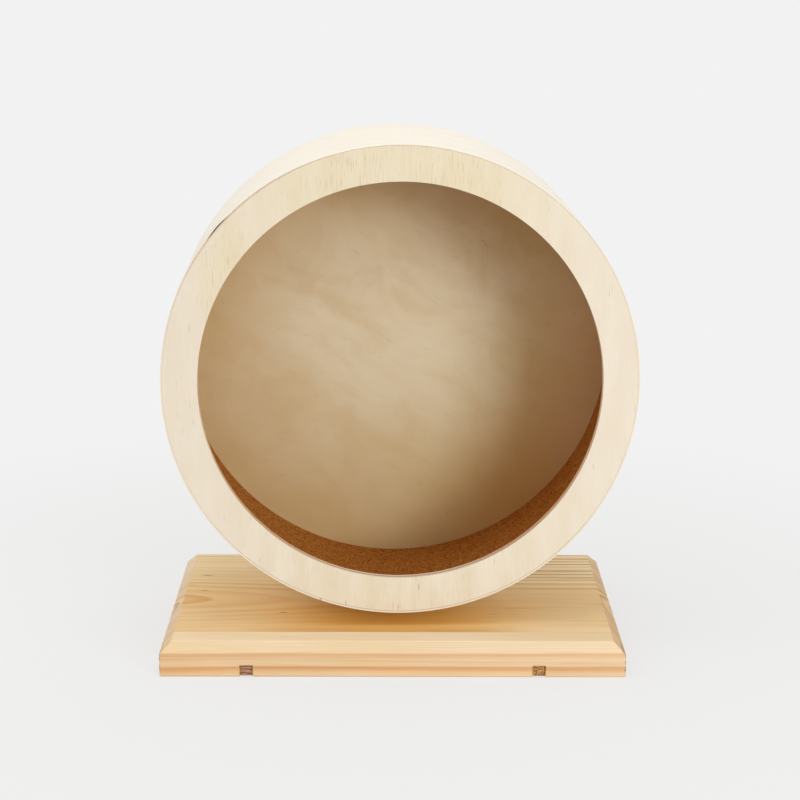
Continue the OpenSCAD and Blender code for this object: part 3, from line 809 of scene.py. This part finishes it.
band_gap = 0.0006
band_thick = 0.0015
band_seam = math.radians(250)
seam_gap = 0.00003 / band_outer
rim = Finish("birch rim band")
rim_turned = rim.millimetres((0.0, 0.0, axle_height), (quarter, 0.0, band_seam - math.pi))
rim_x, rim_y, rim_z = rim.axes(rim_turned)
radius = rim.length(rim.stretch(rim_turned, 1.0, 1.0, 0.0))
along_band = rim.times(rim.math("ARCTAN2", rim_y, rim_x), 1000 * band_outer)
rim_spot = rim.vector(rim_z, radius, along_band)
rim_face, rim_relief = veneer(rim, rim_spot, "FCF6EB", "F8F0E1", "B08A62", 0.35)
through = rim.fade(radius, 1000 * (band_outer - band_edge), 1000 * band_outer, kind="LINEAR")
to_side = rim.unsigned(rim.facing()[1])
rim_edge = ply_edge(rim, through, 3, rim.times(to_side, 0.35), rim.minus(1.0, to_side),
                    rim.noise(rim_spot, 1.4, rough=0.6))
rim_colour = rim.mix(rim.fade(to_side, 0.5, 0.85), rim_face, rim.mix(0.6, rim_edge, "F5E6CF"))
rim_skin = rim.skin(rim_colour, rim.bump(0.25, 0.0001, rim_relief), 0.5, gloss=0.35)
rim_band = strips.make(
    "birch_rim_band", radius=band_outer - band_thick / 2, thick=band_thick,
    width=band_high.y - band_low.y, start=band_seam + seam_gap / 2,
    sweep=2 * math.pi - seam_gap, rows=5, ease=0.00016, edge=band_edge, rise=ring_rise,
    swell=ring_swell, gap=band_gap, gap_at=band_gap_at, middle=(band_low.y + band_high.y) / 2,
    height=axle_height, finish=rim_skin)
stands_for(keep_flats(rim_band), "rim_band", "wheel", rim_skin)


# CORK TRACK. Granules of cork pressed with a binder into a four-millimetre sheet, cut to a strip
# and glued inside the rim, where it gives a running animal grip. Its ends meet at the top.
cork = Finish("pressed cork")
cork_spot = cork.millimetres((0.0, 0.0, axle_height))
stir = cork.add("TexNoise", {"Vector": cork_spot, "Scale": 0.9, "Detail": 2.0}, out=1)
stir = cork.add("VectorMath", {0: stir, 1: (0.5, 0.5, 0.5)}, operation="SUBTRACT")
stir = cork.add("VectorMath", {0: stir, 3: 0.9}, operation="SCALE")
loose = cork.add("VectorMath", {0: cork_spot, 1: stir}, operation="ADD")
borders = cork.add("TexVoronoi", {"Vector": loose, "Scale": 0.82}, feature="DISTANCE_TO_EDGE")
kind = cork.axes(cork.cells(loose, 0.82)["Color"])
small = cork.noise(cork_spot, 2.4, 3.0, 0.65)
cork_colour = cork.mix(kind[0], "D4822E", "F0A74E")
cork_colour = cork.mix(cork.fade(kind[1], 0.88, 0.94), cork_colour, "A0581B")
cork_colour = cork.mix(cork.fade(kind[2], 0.88, 0.93), cork_colour, "F0B466")
cork_colour = cork.mix(cork.fade(borders, 0.02, 0.12, 0.55, 0.0), cork_colour, "8C4C11")
cork_colour = cork.mix(cork.fade(small, 0.35, 0.70, 0.35, 0.0), cork_colour, "92521D")
cork_height = cork.plus(cork.fade(borders, 0.0, 0.16), cork.times(small, 0.6))
cork_skin = cork.skin(cork_colour, cork.bump(0.8, 0.0004, cork_height), 0.85, gloss=0.2)
cork_low, cork_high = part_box("cork_track")
cork_outer = (cork_high.x - cork_low.x) / 2
cork_thick = 0.0040
cork_seam = math.radians(98)
cork_gap = 0.0004 / cork_outer
cork_play = 0.0001
cork_track = strips.make(
    "cork_track_strip", radius=cork_outer - cork_thick / 2, thick=cork_thick - cork_play,
    width=cork_high.y - cork_low.y - cork_play, start=cork_seam + cork_gap / 2,
    sweep=2 * math.pi - cork_gap, steps=640, rows=6, edge=cork_thick - cork_play,
    unevenness=0.0002, middle=(cork_low.y + cork_high.y) / 2, height=axle_height, seed=4.0,
    finish=cork_skin)
stands_for(keep_flats(cork_track), "cork_track", "wheel", cork_skin)


# REAR DISC. The wheel's back wall, a round of birch plywood with its face grain running down to
# the right, left bare inside. Its rotary-cut veneer is cloudy, with a few pin knots; painted shade
# deepens away from a painted pool of light toward its rim and top, and a painted warm glow of
# light bounced from the cork lies at the lower right.
disc_low, disc_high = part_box("rear_disc")
disc_thick = 1000 * (disc_high.y - disc_low.y)
disc_middle = Vector((0.0, disc_low.y, axle_height))
disc = Finish("birch disc")
disc_spot = disc.millimetres(disc_middle, (0.0, math.radians(-118), 0.0))
disc_colour, disc_relief = veneer(disc, disc_spot, "F3E5C5", "F0DFBC", "8A6238", 0.30, 0.36, 2.2)
clouds = disc.noise(disc.stretch(disc_spot, 0.026, 0.03, 0.020), 1.0, 4.0, 0.6, 0.8)
disc_colour = disc.mix(disc.fade(clouds, 0.45, 0.70, 0.0, 0.22), disc_colour, "DAB36E")
mottle = disc.noise(disc.stretch(disc_spot, 0.10, 0.1, 0.075), 1.0, 4.0, 0.65)
disc_colour = disc.mix(disc.fade(mottle, 0.35, 0.70, 0.0, 0.15), disc_colour, "E6CFA6")
disc_level = disc.axes(disc.millimetres(disc_middle))
disc_x, disc_z = disc_level["X"], disc_level["Z"]

# Painted shade deepens away from a painted pool of light just above the middle, toward the rim
# and the top, a painted warm glow of light bounced from the cork lies at the lower right, and
# clouds roughen them.
painted_light_centre = disc_middle + Vector((-0.008, 0.0, 0.018))
from_painted_light = disc.length(disc.stretch(disc.millimetres(painted_light_centre), 1.0, 0.0, 1.0))
from_painted_light = disc.plus(from_painted_light, disc.fade(clouds, 0.25, 0.75, -7.0, 7.0))
uphill = disc.times(disc_x, 0.6, disc.times(disc_z, 0.8))
# Painted shade toward the rim, around the painted pool of light.
painted_rim_shade = disc.times(disc.fade(from_painted_light, 30.0, 165.0),
                   disc.fade(uphill, -110.0, -30.0, 0.62, 1.0))
painted_rim_shade = disc.times(painted_rim_shade, disc.fade(disc_x, 80.0, 130.0, 1.0, 0.60))
disc_colour = disc.mix(painted_rim_shade, disc_colour, "D4B36A")
# Painted shade over the top of the disc, where the ring's upper lip shades it.
painted_top_shade = disc.plus(disc_z, disc.fade(clouds, 0.25, 0.75, -10.0, 10.0))
painted_top_shade = disc.times(disc.fade(painted_top_shade, 10.0, 118.0, 0.0, 0.50),
                       disc.fade(disc_x, -100.0, -40.0, 0.75, 1.0))
disc_colour = disc.mix(painted_top_shade, disc_colour, "B6925C")
# Painted reflection: a warm glow of light bounced from the cork onto the lower right.
painted_cork_glow = disc.times(disc_x, 0.85, disc.times(disc_z, -0.40))
disc_colour = disc.mix(disc.fade(painted_cork_glow, 55.0, 125.0, 0.0, 0.30), disc_colour, "E4A873")
knots = disc.cells(disc.stretch(disc_spot, 0.055, 0.02, 0.055))
knot = disc.times(disc.fade(knots["Distance"], 0.015, 0.045, 1.0, 0.0),
                  disc.fade(disc.axes(knots["Color"])[1], 0.70, 0.75))
disc_colour = disc.mix(disc.times(knot, 0.40), disc_colour, "6E4722")
disc_nx, disc_ny, disc_nz = (disc.unsigned(side) for side in disc.facing())
disc_edge = ply_edge(disc, disc.over(disc.axes(disc_spot)[1], disc_thick), 5, disc_nz, disc_nx,
                     disc.noise(disc_spot, 1.6, rough=0.6))
disc_colour = disc.mix(disc.fade(disc_ny, 0.5, 0.85), disc_edge, disc_colour)
disc_skin = disc.skin(disc_colour, disc.bump(0.25, 0.0001, disc_relief), 0.55, gloss=0.3)


def dress(node, material):
    """Gives a CAD node whose shape is right its finish."""
    piece = frame["nodes"][node]
    piece.data.materials.clear()
    piece.data.materials.append(material)


dress("rear_disc", disc_skin)


# HUB FLANGE. A turned steel collar, chamfered round its rim and zinc plated, that clamps the
# bolt's head in the back of the disc. Four screws hold it.
flange = eased_copy("hub_flange", "turned_hub_flange", 0.00018, rounds=2)
stands_for(flange, "hub_flange", "wheel", zinc_skin)


# AXLE BOLT. A zinc-plated hexagon bolt. Its head sits in the disc's back and turns with the wheel;
# its plain shank carries the bearings, and only its end is threaded, for the lock nut.
def bolt(name, head_at, head_width, head_depth, end_at, radius, pitch, threaded):
    """Head, shank and rolled thread as one skin, drawn along Y and put on the axle."""
    around = 96
    rows_per_turn = 14
    steps = int(threaded / pitch * rows_per_turn)
    flat = head_width / 2
    corner = flat / math.cos(math.pi / 6)
    chamfer = 0.0006
    core = 0.55 * radius
    thread_deep = 0.61 * pitch
    tip_long = 0.0008
    tip_deep = 0.0007
    rows = [(head_at, 0.0), (head_at, 0.90 * flat), (head_at + chamfer, "hexagon"),
            (head_at + head_depth, "hexagon"), (head_at + head_depth, radius),
            (end_at - threaded, radius)]
    rows += [(end_at - threaded + threaded * (i + 1) / steps, "thread") for i in range(steps)]
    rows += [(end_at, core), (end_at, 0.0)]
    verts, faces = [], []
    for y, reach in rows:
        for i in range(around):
            turn = 2 * math.pi * i / around
            r = reach
            if reach == "thread":
                wave = abs(((y / pitch - i / around) % 1.0) * 2 - 1)
                tip = max(0.0, 1.0 - (end_at - y) / tip_long)
                r = max(radius - thread_deep * (1 - wave) - tip_deep * tip, core)
            elif reach == "hexagon":
                from_flat = turn % (math.pi / 3) - math.pi / 6
                r = min(flat / math.cos(from_flat), corner * 0.985)
            verts.append((r * math.cos(turn), y, r * math.sin(turn)))
    for at in range(0, (len(rows) - 1) * around, around):
        for i in range(around):
            j = (i + 1) % around
            faces.append((at + i, at + around + i, at + around + j, at + j))
    return keep_flats(on_axle(name, verts, faces, weld=1e-7))


bolt_low, bolt_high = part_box("axle_bolt")
axle_bolt = bolt("zinc_axle_bolt", head_at=bolt_low.y, head_width=0.0130, head_depth=0.0053,
                 end_at=bolt_high.y, radius=0.00398, pitch=0.00125, threaded=0.011)
stands_for(axle_bolt, "axle_bolt", "wheel", zinc_skin)


# SPACERS AND SHIM. Short tubes and a washer turned from steel, which hold the flange, the two
# bearings and the nut apart on the bolt.
for node in ("axle_spacer", "bearing_spacer", "shim_washer"):
    tube = eased_copy(node, "turned_" + node, 0.00015, rounds=2)
    stands_for(tube, node, "wheel", zinc_skin)


# BEARINGS. Two deep-groove ball bearings pressed into the post. Their rings and balls are ground
# and polished bearing steel, their shields are pressed from thin plate and lie just inside the
# rings, and a moulded cage keeps the seven balls apart.
ground = Finish("ground bearing steel")
ground_spot = ground.millimetres((0.0, 0.0, axle_height))
from_axle = ground.length(ground.stretch(ground_spot, 1.0, 0.0, 1.0))
lathe = ground.noise(ground.vector(from_axle, ground.axes(ground_spot)[1]), 9.0, 3.0, 0.6)
smear = ground.noise(ground_spot, 0.5)
ground_skin = ground.skin(ground.mix(smear, "C6C8CA", "B4B7BA"),
                          ground.bump(0.15, 0.00004, lathe),
                          ground.fade(smear, 0.3, 0.7, 0.16, 0.26), metal=1.0)

pressed = Finish("pressed shield steel")
pressed_spot = pressed.millimetres((0.0, 0.0, axle_height))
rolled = pressed.noise(pressed.stretch(pressed_spot, 0.4, 1.0, 5.0), 1.0, 3.0, 0.6)
pressed_skin = pressed.skin(pressed.mix(rolled, "BFC1C2", "A8ABAD"),
                            pressed.bump(0.2, 0.00005, rolled),
                            pressed.fade(rolled, 0.3, 0.7, 0.30, 0.40), metal=1.0)

nylon = Finish("moulded nylon")
nylon_mist = nylon.noise(nylon.millimetres(), 1.8, 3.0, 0.6)
nylon_skin = nylon.skin(nylon.mix(nylon_mist, "ECE9DF", "DDD8C9"),
                        nylon.bump(0.2, 0.00005, nylon_mist), 0.45)

ball_pitch_radius = 0.0075
ball_size = 0.003969
race_gap = 0.0004
plate = 0.0003
dish = 0.00022
dish_front = 0.0007
dish_back = 0.0009
slope = 0.0003
recess = 0.00002
for end in ("front", "rear"):
    dress(end + "_bearing_outer_ring", ground_skin)
    dress(end + "_bearing_inner_ring", ground_skin)
    dress(end + "_balls", ground_skin)
    dress(end + "_ball_cage", nylon_skin)
    low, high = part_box(end + "_bearing_shields")
    outer = (high.x - low.x) / 2
    inner = ball_pitch_radius - 0.36 * ball_size + race_gap
    joined = bmesh.new()
    for at, way in ((low.y, 1.0), (high.y, -1.0)):
        shield = turned(end + "_shield", [(reach, at + way * deep) for reach, deep in (
            (inner, dish), (inner, dish + plate), (inner + dish_back, dish + plate),
            (inner + dish_back + slope, plate), (outer, plate), (outer, recess),
            (inner + dish_front + slope, recess), (inner + dish_front, dish))], steps=160)
        joined.from_mesh(shield.data)
        bpy.data.objects.remove(shield)
    shields = level_mesh(end + "_pressed_shields", [], [])
    joined.to_mesh(shields.data)
    joined.free()
    stands_for(keep_flats(shields), end + "_bearing_shields", "stand",
               pressed_skin)


# LOCK NUT. A hexagon nut with turned corners and a round collar, zinc plated, whose nylon insert
# grips the bolt's thread so that the nut can't work loose as the wheel turns.
nut = eased_copy("lock_nut", "zinc_lock_nut", 0.00015, rounds=2)
stands_for(nut, "lock_nut", "wheel", zinc_skin)
dress("nut_insert", nylon_skin)
